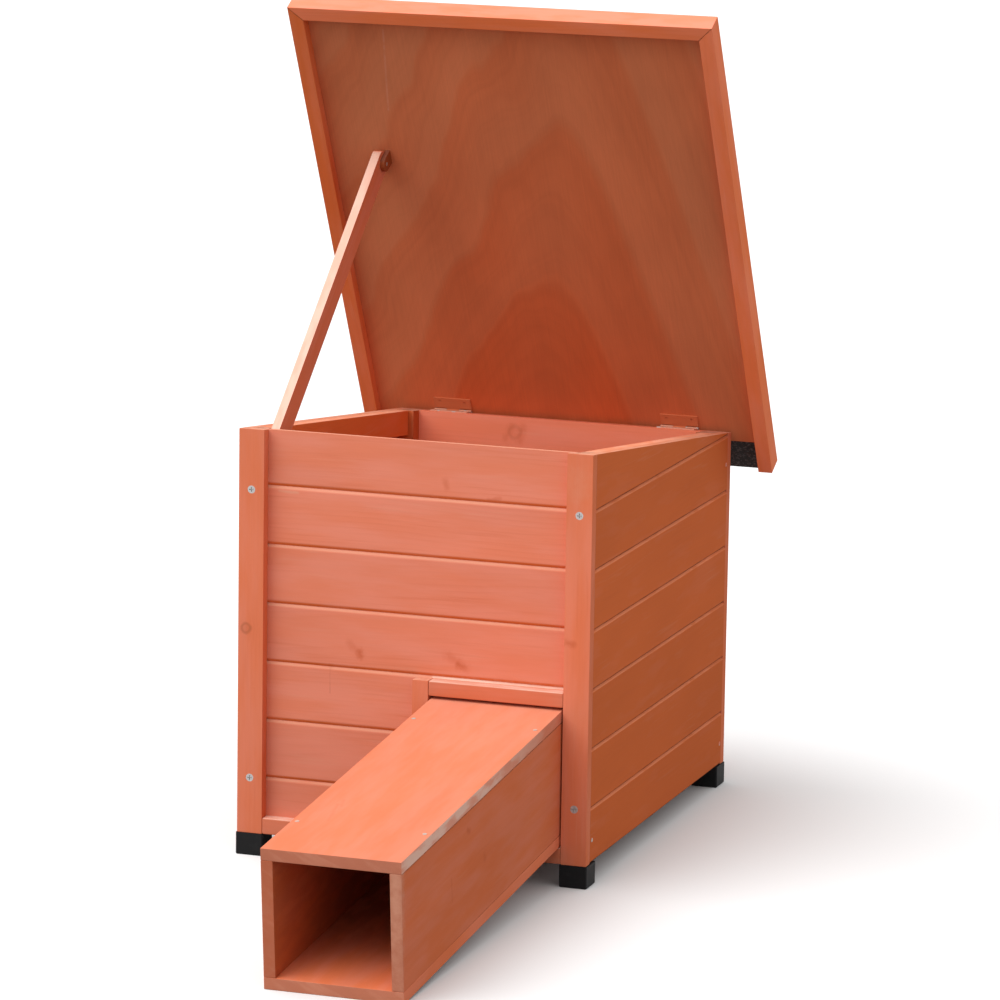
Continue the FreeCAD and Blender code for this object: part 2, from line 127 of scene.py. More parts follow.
def a_colour(name, description, default):
    """A colour that a user can change."""
    return bpy.props.FloatVectorProperty(
        name=name, description=description, default=default, subtype="COLOR", min=0, max=1)


def a_length(name, description, default, least=0.0):
    """A length that a user can change."""
    return bpy.props.FloatProperty(
        name=name, description=description, default=default, min=least, unit="LENGTH")


def an_angle(name, description, degrees):
    """An angle that a user can change."""
    return bpy.props.FloatProperty(
        name=name, description=description, default=math.radians(degrees), unit="ROTATION")


def a_number(name, description, default):
    """A strength or number that a user can change."""
    return bpy.props.FloatProperty(name=name, description=description, default=default, min=0)


class StainSettings(bpy.types.PropertyGroup):
    """Colours of the stained timber."""
    deep: a_colour("Full coat", "Timber under a full coat of stain", (0.640, 0.140, 0.038))
    thin: a_colour("Thin coat", "Timber that shows through a thin coat", (0.690, 0.226, 0.146))
    streak: a_colour("Streaks", "Dark lines of the grain", (0.480, 0.098, 0.036))
    # Also painted shade in the side walls' grooves and deep inside the tunnel
    knot: a_colour("Knots", "Rim of a knot", (0.250, 0.072, 0.030))
    end_grain: a_colour("End grain", "Sawn ends, which dry dull", (0.480, 0.165, 0.098))
    # Raw wood, and also a painted highlight where it pales the tops, the lips that face up and the pale rubs
    raw_and_highlight: a_colour("Raw wood", "Sawn or rubbed edges with hardly any stain", (0.660, 0.310, 0.205))
    # A painted highlight as well as worn stain: it pales the side walls' joint lips that face up into the
    # light
    worn_and_lit: a_colour("Worn edges", "Lips of the joints, where the stain is worn", (0.760, 0.240, 0.115))
    # Also a painted highlight on the tops of the doorway's frame and on the stay's upper face
    bare: a_colour("Bare wood", "Planed edges without stain", (0.760, 0.470, 0.370))
    veneer: a_colour("Veneer", "Stain on plywood, towards its edges", (0.580, 0.177, 0.077))
    veneer_red: a_colour("Veneer figure", "Redder flames in the veneer's middle", (0.650, 0.132, 0.042))


class TimberSettings(bpy.types.PropertyGroup):
    """Sizes of the timber's finish."""
    arris: a_length("Arris", "Rounding of the sawn edges", 0.7 * MM)
    board_arris: a_length("Board arris", "Rounding of the boards' edges", 0.3 * MM)
    trim_arris: a_length("Trim arris", "Rounding of the doorway's frame", 1.6 * MM)
    joint_ease: a_length("Joint ease", "Rounding of a V joint's lips", 1.9 * MM)
    side_ease: a_length("Side joint ease", "Rounding of the lips in the side walls", 0.6 * MM)
    shortest_arris: a_length("Shortest arris", "Shorter edges stay sharp", 7 * MM)
    flame: a_length("Flame length", "Tip to tip of the veneer's flames", 200 * MM, 10 * MM)
    ring: a_length("Ring width", "Width of a year's growth", 4.5 * MM, 0.5 * MM)


class FeltSettings(bpy.types.PropertyGroup):
    """Colours and sizes of the roofing felt and its nails."""
    bitumen: a_colour("Bitumen", "Felt between the grit", (0.033, 0.032, 0.032))
    grit: a_colour("Grit", "Palest mineral grit", (0.150, 0.143, 0.143))
    ripple: a_length("Ripple", "Height of the felt's waves", 0.5 * MM)
    wave: a_length("Wave", "Width of the felt's waves", 70 * MM)
    nail_spacing: a_length("Nail spacing", "Distance between the felt nails", 88 * MM)
    nail_inset: a_length("Nail inset", "Edge of the felt to its nails", 10 * MM)
    nail_radius: a_length("Nail head", "Radius of a felt nail's head", 3.5 * MM)


class FittingSettings(bpy.types.PropertyGroup):
    """Colours of the metal and plastic fittings."""
    zinc: a_colour("Zinc", "Clean zinc plating", (0.54, 0.53, 0.52))
    zinc_dull: a_colour("Dull zinc", "Zinc plating under its bloom", (0.36, 0.35, 0.35))
    bare_steel: a_colour("Bare steel", "Where the stain has come off", (0.56, 0.50, 0.45))
    plastic: a_colour("Plastic", "Foot caps", (0.0045, 0.0045, 0.0050))
    dust: a_colour("Dust", "Dusty places of the foot caps", (0.012, 0.0115, 0.0115))


class StageSettings(bpy.types.PropertyGroup):
    """Camera, lights and floor."""
    camera_place: bpy.props.FloatVectorProperty(
        name="Camera", description="Place of the camera", subtype="TRANSLATION", unit="LENGTH",
        default=(1.78949, -5.02540, 1.41302))
    camera_yaw: an_angle("Yaw", "Camera turned to the left", 18.777)
    camera_pitch: an_angle("Pitch", "Camera turned down", 10.984)
    camera_roll: an_angle("Roll", "Camera turned about its view", 0.886)
    lens: a_number("Lens", "Focal length for a 36 mm sensor, in millimetres", 195.55)
    floor_colour: a_colour("Floor", "Floor in the picture", (0.78, 0.78, 0.78))
    floor_bounce: a_colour("Floor bounce", "Floor in the light it throws back", (0.2, 0.2, 0.2))
    sky: a_number("Sky", "Strength of the light from all round", 0.90)
    key: a_number("Key", "Strength of the wide light above the front", 2.70)
    key_way: bpy.props.FloatVectorProperty(
        name="Key way", description="Where the wide light comes from", subtype="DIRECTION",
        default=(-0.41, -0.385, 0.825))
    key_spread: an_angle("Key spread", "How wide the light is", 60)


class HouseSettings(bpy.types.PropertyGroup):
    """All settings of the house."""
    stain: bpy.props.PointerProperty(type=StainSettings)
    timber: bpy.props.PointerProperty(type=TimberSettings)
    felt: bpy.props.PointerProperty(type=FeltSettings)
    fittings: bpy.props.PointerProperty(type=FittingSettings)
    stage: bpy.props.PointerProperty(type=StageSettings)


def settings():
    """The settings of this scene."""
    return bpy.context.scene.hedgehog_house


class Net:
    """Short forms for building a node tree."""

    def __init__(self, tree, owner=None):
        self.tree = tree
        self.owner = owner

    def node(self, kind, inputs=None, **options):
        """A shader node with its options set and its inputs fed by number or name."""
        made = self.tree.nodes.new("ShaderNode" + kind)
        for name, value in options.items():
            setattr(made, name, value)
        for key, value in (inputs or {}).items():
            self.feed(made.inputs[key], value)
        return made

    def feed(self, socket, value):
        """Link a socket, or set it to a value."""
        if isinstance(value, bpy.types.NodeSocket):
            self.tree.links.new(value, socket)
        else:
            socket.default_value = value

    def math(self, operation, *values, clamp=False):
        """Result of a Math node."""
        made = self.node("Math", dict(enumerate(values)), operation=operation, use_clamp=clamp)
        return made.outputs[0]

    def plus(self, a, b, clamp=False):
        """Sum of two values."""
        return self.math("ADD", a, b, clamp=clamp)

    def minus(self, a, b):
        """Difference of two values."""
        return self.math("SUBTRACT", a, b)

    def times(self, a, b):
        """Product of two values."""
        return self.math("MULTIPLY", a, b)

    def times_plus(self, a, b, c):
        """Product of two values, plus a third."""
        return self.math("MULTIPLY_ADD", a, b, c)

    def vector(self, operation, *values, output="Vector"):
        """Result of a Vector Math node."""
        made = self.node("VectorMath", dict(enumerate(values)), operation=operation)
        return made.outputs[output]

    def scaled(self, vector, factors):
        """A vector stretched along its axes."""
        return self.vector("MULTIPLY", vector, factors)

    def length(self, vector):
        """Length of a vector."""
        return self.vector("LENGTH", vector, output="Value")

    def dot(self, a, b):
        """Dot product of two vectors."""
        return self.vector("DOT_PRODUCT", a, b, output="Value")

    def parts(self, vector):
        """The three parts of a vector."""
        return self.node("SeparateXYZ", {0: vector}).outputs

    def joined(self, x, y, z):
        """A vector from three values."""
        return self.node("CombineXYZ", {0: x, 1: y, 2: z}).outputs[0]

    def step(self, value, low, high, start=0.0, end=1.0):
        """A value eased from start to end between two limits."""
        inputs = {"Value": value, "From Min": low, "From Max": high, "To Min": start, "To Max": end}
        return self.node("MapRange", inputs, interpolation_type="SMOOTHSTEP").outputs["Result"]

    def fall(self, value, low, high):
        """A value eased from 1 to 0 between two limits."""
        return self.step(value, low, high, 1.0, 0.0)

    def noise(self, vector, scale=1.0, detail=2.0, roughness=0.5, output="Fac"):
        """Value or colour of a Noise Texture node."""
        inputs = {"Vector": vector, "Scale": scale, "Detail": detail, "Roughness": roughness}
        return self.node("TexNoise", inputs).outputs[output]

    def fibrous(self, vector, along, across, **options):
        """Noise with one scale along the grain, which is X, and another across it."""
        return self.noise(self.scaled(vector, (along, across, across)), **options)

    def turned(self, vector, rotation):
        """A vector in axes that are turned."""
        inputs = {"Vector": vector, "Rotation": rotation}
        return self.node("Mapping", inputs, vector_type="TEXTURE").outputs["Vector"]

    def where(self):
        """Place in the house."""
        return self.node("TexCoord").outputs["Object"]

    def facing(self, way, low, high, either=False):
        """How far the surface faces a way, or also its opposite, eased between two cosines."""
        cosine = self.dot(self.node("TexCoord").outputs["Normal"], way)
        return self.step(self.math("ABSOLUTE", cosine) if either else cosine, low, high)

    def own(self, name, output="Fac"):
        """A value kept on the object itself."""
        return self.node("Attribute", attribute_type="OBJECT", attribute_name=name).outputs[output]

    def mix(self, factor, a, b, blend="MIX"):
        """Two colours mixed; a constant one is given by its three parts."""
        a, b = (colour if isinstance(colour, bpy.types.NodeSocket) else (*colour, 1) for colour in (a, b))
        made = self.node("Mix", {0: factor, 6: a, 7: b}, data_type="RGBA", blend_type=blend)
        return made.outputs[2]

    def shaded(self, colour, shade):
        """A colour times a value."""
        return self.mix(1.0, colour, self.joined(shade, shade, shade), "MULTIPLY")

    def group(self, name, **inputs):
        """Outputs of a node group with its named inputs fed."""
        named = {label.replace("_", " ").capitalize(): value for label, value in inputs.items()}
        return self.node("Group", named, node_tree=bpy.data.node_groups[name]).outputs

    def surface(self, colour, roughness, specular=0.5, metallic=0.0, bump=None):
        """Feed the shader of a material, which is given back; a bump is (height, strength, distance)."""
        inputs = {"Base Color": colour, "Roughness": roughness,
                  "Specular IOR Level": specular, "Metallic": metallic}
        if bump:
            made = self.node("Bump", dict(zip(("Height", "Strength", "Distance"), bump)))
            inputs["Normal"] = made.outputs["Normal"]
        for name, value in inputs.items():
            self.feed(self.tree.nodes["Principled BSDF"].inputs[name], value)
        return self.owner


def new_group(name, vectors, values, outputs):
    """An empty node group with named sockets: its net, inputs and outputs."""
    tree = bpy.data.node_groups.new(name, "ShaderNodeTree")
    for labels, kind in ((vectors, "Vector"), (values, "Float")):
        for label in labels:
            tree.interface.new_socket(label, in_out="INPUT", socket_type="NodeSocket" + kind)
    for label in outputs:
        tree.interface.new_socket(label, in_out="OUTPUT", socket_type="NodeSocketFloat")
    return Net(tree), tree.nodes.new("NodeGroupInput").outputs, tree.nodes.new("NodeGroupOutput").inputs


def solid_grain_group():
    """Clouds, streaks, fibres and growth rings of softwood whose X runs along the grain."""
    net, given, out = new_group(
        "solid_grain", ("Vector",), ("Seed", "Ring width", "Shift"),
        ("Cloud", "Blush", "Streaks", "Pale", "Fibre", "Rings", "Tone"))
    chance = net.node("TexWhiteNoise", {"W": given["Seed"]}, noise_dimensions="1D")
    dice = net.parts(chance.outputs["Color"])
    far = net.node("VectorMath", {0: chance.outputs["Color"], "Scale": 7.0}, operation="SCALE")
    place = net.vector("ADD", given["Vector"], far.outputs["Vector"])
    bend = net.fibrous(place, 3.0, 9.0, detail=1.0, output="Color")
    bend = net.scaled(net.vector("SUBTRACT", bend, (0.5, 0.5, 0.5)), (0.0, 0.026, 0.026))
    wavy = net.vector("ADD", place, net.scaled(bend, (0.0, 0.5, 0.5)))
    net.feed(out["Cloud"], net.fibrous(place, 9.0, 48.0, detail=3.0, roughness=0.55))
    net.feed(out["Blush"], net.fibrous(place, 4.0, 15.0))
    masks = net.parts(net.fibrous(wavy, 8.0, 40.0, detail=1.0, output="Color"))
    dark = net.step(net.fibrous(wavy, 8.0, 330.0), 0.54, 0.72)
    net.feed(out["Streaks"], net.times(dark, net.step(masks[0], 0.46, 0.62)))
    lines = net.parts(net.fibrous(wavy, 11.0, 300.0, output="Color"))
    pale = net.step(lines[1], 0.55, 0.74)
    net.feed(out["Pale"], net.times(pale, net.step(masks[1], 0.47, 0.62)))
    net.feed(out["Fibre"], net.fibrous(wavy, 24.0, 800.0))
    here = net.parts(net.vector("ADD", given["Vector"], bend))
    heart_y = net.times_plus(dice[0], 0.12, -0.06)
    heart_z = net.times_plus(dice[1], -0.07, -0.02)
    lean = net.times_plus(dice[2], 0.10, -0.05)
    y = net.minus(net.times_plus(here[0], lean, here[1]), heart_y)
    z = net.minus(here[2], heart_z)
    radius = net.plus(net.length(net.joined(0.0, y, z)), given["Shift"])
    phase = net.math("FRACT", net.math("DIVIDE", radius, given["Ring width"]))
    ring = net.times(net.step(phase, 0.35, 0.90), net.fall(phase, 0.90, 1.0))
    net.feed(out["Rings"], net.times(ring, net.step(masks[2], 0.40, 0.62)))
    net.feed(out["Tone"], dice[1])


def knot_group():
    """A knot: its heart, its rim, and the halo in which the grain bends round it."""
    net, given, out = new_group("knot", ("Vector", "Centre"), ("Radius",), ("Heart", "Rim", "Halo"))
    away = net.vector("SUBTRACT", given["Vector"], given["Centre"])
    rough = net.noise(given["Vector"], scale=110.0)
    reach = net.math("DIVIDE", net.length(away), given["Radius"])
    reach = net.plus(reach, net.times_plus(rough, 0.8, -0.4))
    net.feed(out["Heart"], net.fall(reach, 0.65, 1.0))
    net.feed(out["Rim"], net.times(net.step(reach, 0.55, 0.95), net.fall(reach, 0.95, 1.5)))
    net.feed(out["Halo"], net.fall(reach, 0.6, 3.6))


def new_line_group(name):
    """A group for a mask along a line, with the gap to that line as a share of Width."""
    net, given, out = new_group(name, ("Vector", "Start", "End"), ("Width",), ("Mask",))
    run = net.vector("SUBTRACT", given["End"], given["Start"])
    away = net.vector("SUBTRACT", given["Vector"], given["Start"])
    along = net.math("DIVIDE", net.dot(away, run), net.dot(run, run), clamp=True)
    foot = net.scaled(run, net.joined(along, along, along))
    gap = net.math("DIVIDE", net.length(net.vector("SUBTRACT", away, foot)), given["Width"])
    return net, given["Vector"], out["Mask"], gap


def line_group():
    """A soft straight line between two places: a scratch, a seam or a streak."""
    net, place, mask, gap = new_line_group("line")
    broken = net.step(net.noise(place, scale=160.0), 0.34, 0.58, 0.35, 1.0)
    net.feed(mask, net.times(net.fall(gap, 0.3, 1.0), broken))


def smear_group():
    """A soft uneven smear between two places, where the stain has gathered round a knot."""
    net, place, mask, gap = new_line_group("smear")
    uneven = net.noise(place, scale=130.0, detail=4.0, roughness=0.6)
    gap = net.plus(gap, net.times_plus(uneven, 1.4, -0.7))
    net.feed(mask, net.fall(gap, -0.2, 1.0))


def veneer_group():
    """Flames of a peeled veneer: X runs along the grain to the tips of the flames, Y across them."""
    net, given, out = new_group(
        "veneer", ("Vector",), ("Seed", "Flame length"), ("Flame", "Arcs", "Middle", "Fibre", "Cloud"))
    place = net.vector("ADD", given["Vector"], net.joined(given["Seed"], given["Seed"], 0.0))
    bend = net.noise(net.scaled(place, (5.0, 9.0, 1.0)), detail=3.0)
    here = net.parts(given["Vector"])
    across = net.minus(here[1], net.times_plus(here[0], 0.16, 0.014))
    across = net.plus(across, net.times_plus(bend, 0.05, -0.025))
    spread = net.length(net.joined(across, 0.045, 0.0))
    level = net.times_plus(spread, -2.8, net.minus(0.225, here[0]))
    level = net.times_plus(bend, 0.11, level)
    phase = net.math("FRACT", net.math("DIVIDE", level, given["Flame length"]))
    net.feed(out["Flame"], net.times(net.step(phase, 0.0, 0.16), net.fall(phase, 0.16, 1.0)))
    fine = net.node("TexNoise", {"W": level, "Scale": 34.0, "Detail": 2.0}, noise_dimensions="1D")
    net.feed(out["Arcs"], net.step(fine.outputs["Fac"], 0.38, 0.66))
    net.feed(out["Middle"], net.fall(net.math("ABSOLUTE", across), 0.05, 0.20))
    net.feed(out["Fibre"], net.fibrous(place, 14.0, 620.0, detail=3.0))
    net.feed(out["Cloud"], net.fibrous(place, 6.0, 11.0, detail=5.0))


def new_material(name):
    """The node tree of a new material, which holds only its Principled BSDF."""
    material = bpy.data.materials.new(name)
    material.use_nodes = True
    return Net(material.node_tree, material)


def grain_place(net, way):
    """Place in the house, and place from a board's own middle with X along the grain."""
    where = net.where()
    near = net.vector("SUBTRACT", where, net.own("board_middle", "Vector"))
    return where, net.turned(near, way.to_euler("XYZ"))


# A face that looks one way and is tinted unevenly, and may fade along the grain between two places. Most of
# these tints are painted highlight or painted shade on faces that turn towards or away from the light.
Face = namedtuple("Face", "way tint least most fade", defaults=(1.0, None))


def laid(marks, x=None, y=None):
    """Marks on a face at one x or y: the other coordinates of both ends, width in mm and strength."""
    def place(a, b):
        return Vector((a, y, b)) if x is None else Vector((x, a, b))
    return [(place(*start), place(*end), width * MM, strength) for start, end, width, strength in marks]


def marked(net, colour, tint, kind, where, marks):
    """A colour tinted by the lines or smears at (start, end, width, strength)."""
    total = 0.0
    for start, end, width, strength in marks:
        mark = net.group(kind, vector=where, start=start, end=end, width=width)
        total = net.plus(total, net.times(mark["Mask"], strength), clamp=True)
    return net.mix(total, colour, tint) if marks else colour


def knots_on(net, where, knots):
    """The darkening and the bent grain of the knots at (place, radius, strength)."""
    dark, halo = 0.0, 0.0
    for centre, radius, strength in knots:
        knot = net.group("knot", vector=where, centre=centre, radius=radius)
        own = net.times_plus(knot["Rim"], 0.50, net.times(knot["Heart"], 0.22))
        own = net.times_plus(knot["Halo"], 0.06, own)
        dark = net.plus(dark, net.times(own, strength), clamp=True)
        halo = net.plus(halo, knot["Halo"], clamp=True)
    return dark, halo


def tinted_face(net, place, face):
    """How strongly a face is tinted."""
    rubbed_and_lit = net.fibrous(place, 26.0, 90.0, detail=3.0)
    tint = net.step(rubbed_and_lit, 0.38, 0.58, face.least, face.most)
    tint = net.times(net.facing(face.way.normalized(), 0.80, 0.95), tint)
    if face.fade:
        tint = net.times(tint, net.step(net.parts(place)[0], *face.fade, 1.0, 0.15))
    return tint


def sawn_ends(net, place, way):
    """How far the surface is end grain, and the slanting figure of the saw on it."""
    sawn = net.facing(way.col[0], 0.6, 0.95, either=True)
    slanted = net.turned(place, (0.6, 0.0, 0.0))
    figure = net.noise(net.scaled(slanted, (0.0, 30.0, 150.0)), detail=3.0)
    return sawn, net.step(figure, 0.45, 0.70)


def pine(name, way, knots=(), smears=(), seams=(), rubs_and_highlights=(), faces=()):
    """Stained pine with its grain along a way, its marks and its tinted faces."""
    stain, ring_width = settings().stain, settings().timber.ring
    net = new_material(name)
    where, place = grain_place(net, way)
    dark, halo = knots_on(net, where, knots)
    grain = net.group(
        "solid_grain", vector=place, seed=net.own("board_seed"), ring_width=ring_width,
        shift=net.times(halo, 0.7 * ring_width))
    show = net.own("grain_show")
    coat = net.plus(net.own("stain_coat"), net.step(grain["Cloud"], 0.3, 0.7, -0.16, 0.16))
    coat = net.math("MINIMUM", net.math("MAXIMUM", coat, 0.0), 1.0)
    colour = net.mix(coat, stain.thin, stain.deep)
    lined = net.times_plus(grain["Streaks"], 0.40, net.times(grain["Rings"], 0.20))
    colour = net.mix(net.times(lined, show), colour, stain.streak)
    pale = net.times(grain["Pale"], 0.40)
    colour = net.mix(net.times(pale, show), colour, stain.raw_and_highlight)
    if knots:
        colour = net.mix(dark, colour, stain.knot)
    colour = marked(net, colour, stain.streak, "smear", where, smears)
    sawn, figure = sawn_ends(net, place, way)
    sawn_colour = net.mix(net.times(figure, 0.25), stain.end_grain, stain.raw_and_highlight)
    colour = net.mix(net.times(sawn, 0.9), colour, sawn_colour)
    for face in faces:
        colour = net.mix(tinted_face(net, place, face), colour, face.tint)
    colour = marked(net, colour, stain.knot, "line", where, seams)
    colour = marked(net, colour, stain.raw_and_highlight, "smear", where, rubs_and_highlights)
    # A piece's own shade: mostly the tone of its stain, but for some pieces raised as painted light or
    # lowered as painted shade
    shade = net.times_plus(grain["Fibre"], 0.06, net.own("stain_and_light_shade"))
    shade = net.plus(shade, net.times_plus(grain["Tone"], 0.06, -0.06))
    shade = net.times(shade, net.step(grain["Blush"], 0.25, 0.75, 0.96, 1.04))
    roughness = net.times_plus(grain["Fibre"], 0.16, 0.74)
    height = net.times_plus(grain["Rings"], 0.4, grain["Fibre"])
    return net.surface(net.shaded(colour, shade), roughness, specular=0.06, bump=(height, 0.18, 0.25 * MM))


def plywood(name, way, lines=()):
    """Stained plywood with flames in its face, pale lines on it, and plies in its edges."""
    stain = settings().stain
    net = new_material(name)
    where, place = grain_place(net, way)
    figure = net.group(
        "veneer", vector=place, seed=net.own("board_seed"), flame_length=settings().timber.flame)
    along, _, depth = net.parts(place)
    red = net.times(figure["Middle"], net.step(along, -0.25, 0.22, 0.62, 0.22))
    red = net.plus(red, net.step(along, -0.27, -0.08, 0.22, 0.0))
    red = net.plus(red, net.times_plus(figure["Flame"], 0.34, -0.08), clamp=True)
    colour = net.mix(red, stain.veneer, stain.veneer_red)
    colour = marked(net, colour, stain.raw_and_highlight, "line", where, lines)
    plies = net.math("FRACT", net.times(depth, PLY_PAIRS_PER_METRE))
    edge = net.minus(1.0, net.facing(way.col[2], 0.5, 0.9, either=True))
    colour = net.mix(net.times(edge, net.step(plies, 0.42, 0.58)), colour, stain.end_grain)
    shade = net.times_plus(figure["Fibre"], 0.16, 0.96)
    shade = net.minus(shade, net.times(figure["Flame"], 0.06))
    shade = net.minus(shade, net.times(figure["Arcs"], 0.045))
    shade = net.times(shade, net.step(figure["Cloud"], 0.3, 0.7, 0.93, 1.07))
    fibre = figure["Fibre"]
    colour = net.shaded(colour, shade)
    return net.surface(colour, net.times_plus(fibre, 0.16, 0.70), specular=0.10, bump=(fibre, 0.18, 0.2 * MM))


def roofing_felt():
    """Bitumen felt with mineral grit, scuffed grey."""
    felt = settings().felt
    net = new_material("roofing_felt")
    where = net.where()
    grit = net.node("TexVoronoi", {"Vector": where, "Scale": 620.0}).outputs
    scuff = net.noise(where, scale=16.0, detail=5.0, roughness=0.65)
    speck = net.step(net.parts(grit["Color"])[0], 0.55, 0.95)
    light = net.times(speck, net.step(scuff, 0.36, 0.68, 0.45, 1.0))
    colour = net.mix(light, felt.bitumen, felt.grit)
    bump = (grit["Distance"], 0.6, 0.5 * MM)
    return net.surface(colour, net.times_plus(scuff, 0.2, 0.72), specular=0.3, bump=bump)


def zinc():
    """Zinc-plated steel with a faint bloom."""
    fittings = settings().fittings
    net = new_material("zinc")
    bloom = net.noise(net.where(), scale=500.0, detail=3.0)
    colour = net.mix(bloom, fittings.zinc_dull, fittings.zinc)
    return net.surface(colour, net.times_plus(bloom, 0.2, 0.46), metallic=1.0)


def stained_steel(name, stain_colour, bare_from):
    """Steel under the brushed-on stain, which has come off in places."""
    net = new_material(name)
    patch = net.noise(net.where(), scale=140.0, detail=4.0)
    bare = net.step(patch, bare_from, bare_from + 0.1)
    colour = net.mix(bare, stain_colour, settings().fittings.bare_steel)
    return net.surface(colour, net.times_plus(patch, 0.2, 0.52), specular=0.15, metallic=net.times(bare, 0.6))


def foot_plastic():
    """Black moulded plastic with a little dust."""
    fittings = settings().fittings
    net = new_material("foot_plastic")
    where = net.where()
    grain = net.noise(where, scale=1400.0)
    dust = net.noise(where, scale=60.0, detail=5.0, roughness=0.7)
    colour = net.mix(net.step(dust, 0.5, 0.8), fittings.plastic, fittings.dust)
    return net.surface(colour, net.times_plus(grain, 0.2, 0.50), specular=0.2, bump=(grain, 0.25, 0.1 * MM))


def set_mode(mode):
    """Go to edit mode or object mode."""
    bpy.ops.object.mode_set(mode=mode)


def deselect():
    """Leave edit mode and select nothing."""
    if bpy.context.object and bpy.context.object.mode != "OBJECT":
        set_mode("OBJECT")
    bpy.ops.object.select_all(action="DESELECT")


def select_only(piece):
    """Make a piece the active and only selected object."""
    deselect()
    piece.select_set(True)
    bpy.context.view_layer.objects.active = piece


def ends_of(edge, mesh):
    """Places of the two ends of an edge."""
    return [mesh.vertices[index].co for index in edge.vertices]


def lip_edges(mesh):
    """Keys of the edges between an upright face and a chamfer that looks up or down."""
    slopes = {}
    for polygon in mesh.polygons:
        for key in polygon.edge_keys:
            slopes.setdefault(key, []).append(abs(polygon.normal.z))
    least, most = CHAMFER_RISES
    return {key for key, pair in slopes.items() if min(pair) < UPRIGHT_BELOW and least < max(pair) < most}


def round_edges(piece, radius, segments, keys):
    """Bevel those long edges of a piece, which is in object mode, whose keys are given."""
    mesh = piece.data
    for part in (mesh.vertices, mesh.edges, mesh.polygons):
        part.foreach_set("select", [False] * len(part))
    for edge in mesh.edges:
        start, end = ends_of(edge, mesh)
        edge.select = edge.key in keys and (end - start).length > settings().timber.shortest_arris
    set_mode("EDIT")
    bpy.ops.mesh.bevel(offset=radius, segments=segments, clamp_overlap=True)


def finish_piece(piece, material, body):
    """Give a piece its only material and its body."""
    piece.data.materials.clear()
    piece.data.materials.append(material)
    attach(piece, body)


def solids_in(mesh):
    """Faces of a mesh of loose triangles, grouped by solid; solids that touch share edges of four faces."""
    spots = [tuple(round(value, SPOT_DIGITS) for value in vertex.co) for vertex in mesh.vertices]
    faces_at = {}
    for polygon in mesh.polygons:
        for a, b in polygon.edge_keys:
            faces_at.setdefault(frozenset((spots[a], spots[b])), []).append(polygon.index)
    group_of = {polygon.index: [polygon.index] for polygon in mesh.polygons}
    for faces in faces_at.values():
        if len(faces) == 2 and group_of[faces[0]] is not group_of[faces[1]]:
            kept, taken = (group_of[face] for face in faces)
            kept += taken
            group_of.update((face, kept) for face in taken)
    return list({id(group): group for group in group_of.values()}.values())


def apart(piece):
    """The solids of a piece as objects of their own, the piece first."""
    groups = solids_in(piece.data)
    if len(groups) == 1:
        return [piece]
    piece.data.materials.clear()
    for index, group in enumerate(groups):
        piece.data.materials.append(None)
        for face in group:
            piece.data.polygons[face].material_index = index
    before = set(bpy.data.objects)
    select_only(piece)
    bpy.ops.mesh.separate(type="MATERIAL")
    return [piece] + sorted(set(bpy.data.objects) - before, key=lambda solid: solid.name)


def ease(solid, arris, lips, back):
    """Merge a solid's triangles, and round the lips of its joints and its edges that don't lie behind a y."""
    mesh = solid.data
    select_only(solid)
    bpy.ops.mesh.customdata_custom_splitnormals_clear()
    set_mode("EDIT")
    bpy.ops.mesh.select_mode(type="EDGE")
    bpy.ops.mesh.select_all(action="SELECT")
    bpy.ops.mesh.remove_doubles(threshold=MERGE_GAP)
    bpy.ops.mesh.mark_sharp(clear=True)
    bpy.ops.mesh.dissolve_limited(angle_limit=FLAT_BELOW)
    if lips:
        set_mode("OBJECT")
        round_edges(solid, lips, LIP_SEGMENTS, lip_edges(mesh))
    bpy.ops.mesh.select_all(action="DESELECT")
    bpy.ops.mesh.edges_select_sharp(sharpness=SHARP_ABOVE)
    set_mode("OBJECT")
    sharp = [edge for edge in mesh.edges if edge.select]
    keys = {edge.key for edge in sharp if min(end.y for end in ends_of(edge, mesh)) <= back}
    round_edges(solid, arris, ARRIS_SEGMENTS, keys)
    set_mode("OBJECT")


def dressed(node, material, seed, coat=0.5, shade=1.0, show=0.4, arris=None, lips=0.0, tight_back=False):
    """Stand a copy of a CAD node in for it, with eased edges and its own grain and coat of stain."""
    source = frame["nodes"][node]
    low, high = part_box(node)
    piece = source.copy()
    piece.data = source.data.copy()
    piece.parent = None
    for key in [key for key in piece.keys() if key.startswith("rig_")]:
        del piece[key]
    piece.name = "dressed_" + node
    bpy.context.scene.collection.objects.link(piece)
    solids = apart(piece)
    for solid in solids:
        ease(solid, arris or settings().timber.arris, lips, high.y - BACK_GAP if tight_back else math.inf)
    select_only(piece)
    for solid in solids:
        solid.select_set(True)
    if len(solids) > 1:
        bpy.ops.object.join()
    bpy.ops.object.shade_smooth_by_angle(angle=SMOOTH_BELOW)
    flat = piece.modifiers.new("Flat faces", "WEIGHTED_NORMAL")
    flat.keep_sharp = True
    flat.weight = FACE_WEIGHT
    bpy.ops.object.modifier_apply(modifier=flat.name)
    finish_piece(piece, material, BODY_OF[node])
    piece["board_middle"] = list((low + high) / 2)
    values = {"board_seed": seed, "stain_coat": coat, "stain_and_light_shade": shade, "grain_show": show}
    for key, value in values.items():
        piece[key] = float(value)
    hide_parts(node)


def coat_node(node, material):
    """Give a CAD node, whose shape stays, its material."""
    mesh = frame["nodes"][node].data
    for index in range(len(mesh.materials)):
        mesh.materials[index] = material


def numbered(stem):
    """The CAD nodes with a stem and a number, in order."""
    return sorted(node for node in frame["nodes"] if node.startswith(stem))


class HOUSE_OT_finishes(bpy.types.Operator):
    """Make the shared node groups"""
    bl_idname = "hedgehog.finishes"
    bl_label = "Finishes"

    def execute(self, context):
        for make in (solid_grain_group, knot_group, line_group, smear_group, veneer_group):
            make()
        return {"FINISHED"}


